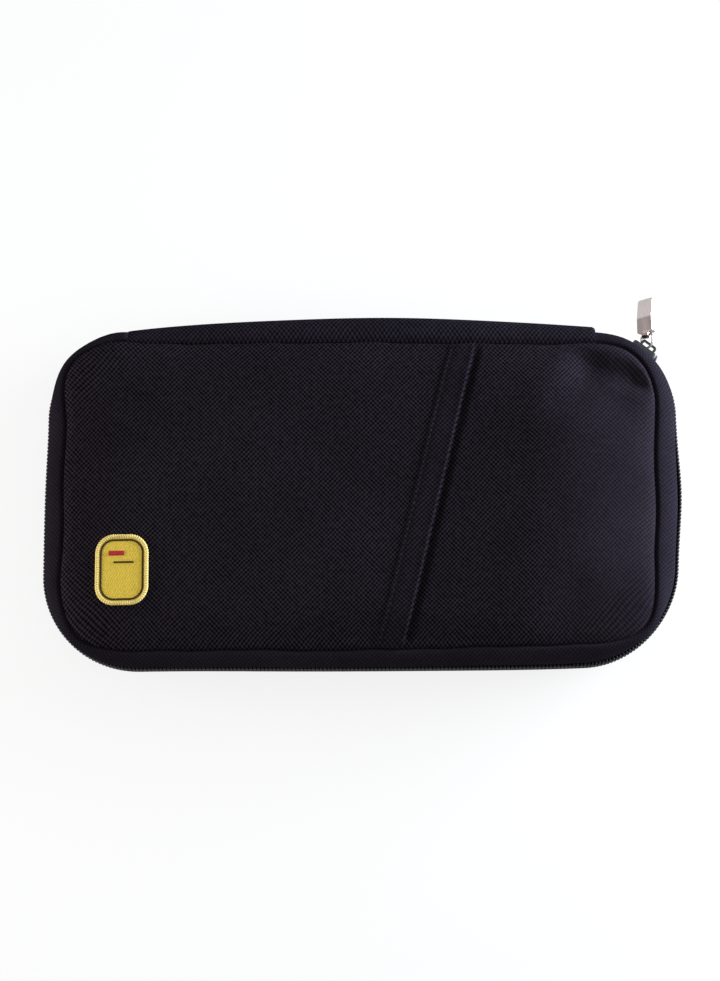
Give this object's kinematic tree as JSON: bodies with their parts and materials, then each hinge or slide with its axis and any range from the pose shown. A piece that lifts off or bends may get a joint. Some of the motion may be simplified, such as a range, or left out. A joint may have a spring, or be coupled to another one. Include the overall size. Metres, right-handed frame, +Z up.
{
  "type": "travel document organizer",
  "caption": "Flat zip-around case in black woven fabric with rounded corners, a slanted front slip pocket, a soft spine it opens on, and pockets inside for a passport, cards, papers and a pen.",
  "frame": {"origin": "middle of the flat underside of the back cover", "axes": "+X along the width to the side with the zip pull, +Y from the long zipped edge to the spine, +Z up through the front cover"},
  "size_m": [0.2396, 0.1441, 0.0268],
  "materials": {
    "woven_shell": "plain woven polyester, matte",
    "band_fabric": "plain woven polyester, matte",
    "binding_tape": "ribbed binding tape",
    "lining": "fine woven lining",
    "mesh": "knitted mesh",
    "foam": "closed-cell foam",
    "zip_tape": "woven zip tape",
    "zip_coil": "nylon coil",
    "elastic": "ribbed elastic",
    "patch": "embroidered twill",
    "slider_enamel": "black enamel",
    "plated_metal": "nickel plated, satin"
  },
  "bodies": {
    "back": {"back_panel": "woven_shell", "back_foam": "foam", "back_lining": "lining", "back_band": "band_fabric", "back_zip_tape": "zip_tape", "back_zip_coil": "zip_coil", "joined_zip_tape": "zip_tape", "joined_zip_coil": "zip_coil", "back_seam_binding": "binding_tape", "document_pocket": "lining", "document_binding": "binding_tape", "card_slot_rear": "lining", "card_slot_middle": "lining", "card_slot_front": "lining", "passport_pocket": "lining", "pen_loop": "elastic"},
    "spine": {"spine_panel": "band_fabric", "spine_foam": "foam", "spine_lining": "lining"},
    "front": {"front_panel": "woven_shell", "front_foam": "foam", "front_lining": "lining", "front_band": "band_fabric", "front_zip_tape": "zip_tape", "front_zip_coil": "zip_coil", "front_seam_binding": "binding_tape", "slant_pocket": "woven_shell", "slant_binding": "binding_tape", "patch": "patch", "mesh_pocket": "mesh", "mesh_hem": "binding_tape", "mesh_facing": "lining", "mesh_tape_lower": "zip_tape", "mesh_tape_upper": "zip_tape", "mesh_coil_lower": "zip_coil", "mesh_coil_upper": "zip_coil"},
    "zip_slider": {"zip_slider": "slider_enamel"},
    "pull_ring": {"pull_ring": "plated_metal"},
    "pull_tab": {"pull_tab": "plated_metal"},
    "mesh_slider": {"mesh_slider": "slider_enamel"},
    "mesh_pull": {"mesh_pull": "slider_enamel"}
  },
  "joints": [
    {"name": "spine_fold", "type": "hinge", "parent": "back", "child": "spine", "pos_m": [0, 0.0655, 0.006], "axis": [-1, 0, 0], "range_deg": [0, 90], "deforming": ["spine_panel", "spine_lining"]},
    {"name": "cover_fold", "type": "hinge", "parent": "spine", "child": "front", "pos_m": [0, 0.0655, 0.0184], "axis": [-1, 0, 0], "range_deg": [0, 90]},
    {"name": "zip_run", "type": "hinge", "parent": "back", "child": "zip_slider", "pos_m": [0.088, 0.033, 0.0122], "axis": [0, 0, 1], "range_deg": [-44, 16]},
    {"name": "pull_swing", "type": "hinge", "parent": "zip_slider", "child": "pull_ring", "pos_m": [0.10936, 0.05985, 0.0122], "axis": [0, 0, 1], "range_deg": [-83, 6]},
    {"name": "tab_swing", "type": "hinge", "parent": "pull_ring", "child": "pull_tab", "pos_m": [0.10936, 0.06495, 0.0122], "axis": [0.7071, 0, 0.7071], "range_deg": [-60, 60]},
    {"name": "pocket_zip_run", "type": "slide", "parent": "front", "child": "mesh_slider", "axis": [-1, 0, 0], "range_m": [0, 0.189]},
    {"name": "pocket_pull_swing", "type": "hinge", "parent": "mesh_slider", "child": "mesh_pull", "pos_m": [0.0945, 0.036, 0.01379], "axis": [0, -1, 0], "range_deg": [0, 28]}
  ],
  "couplings": [
    {"joint": "cover_fold", "follows": "spine_fold", "ratio": 1}
  ]
}
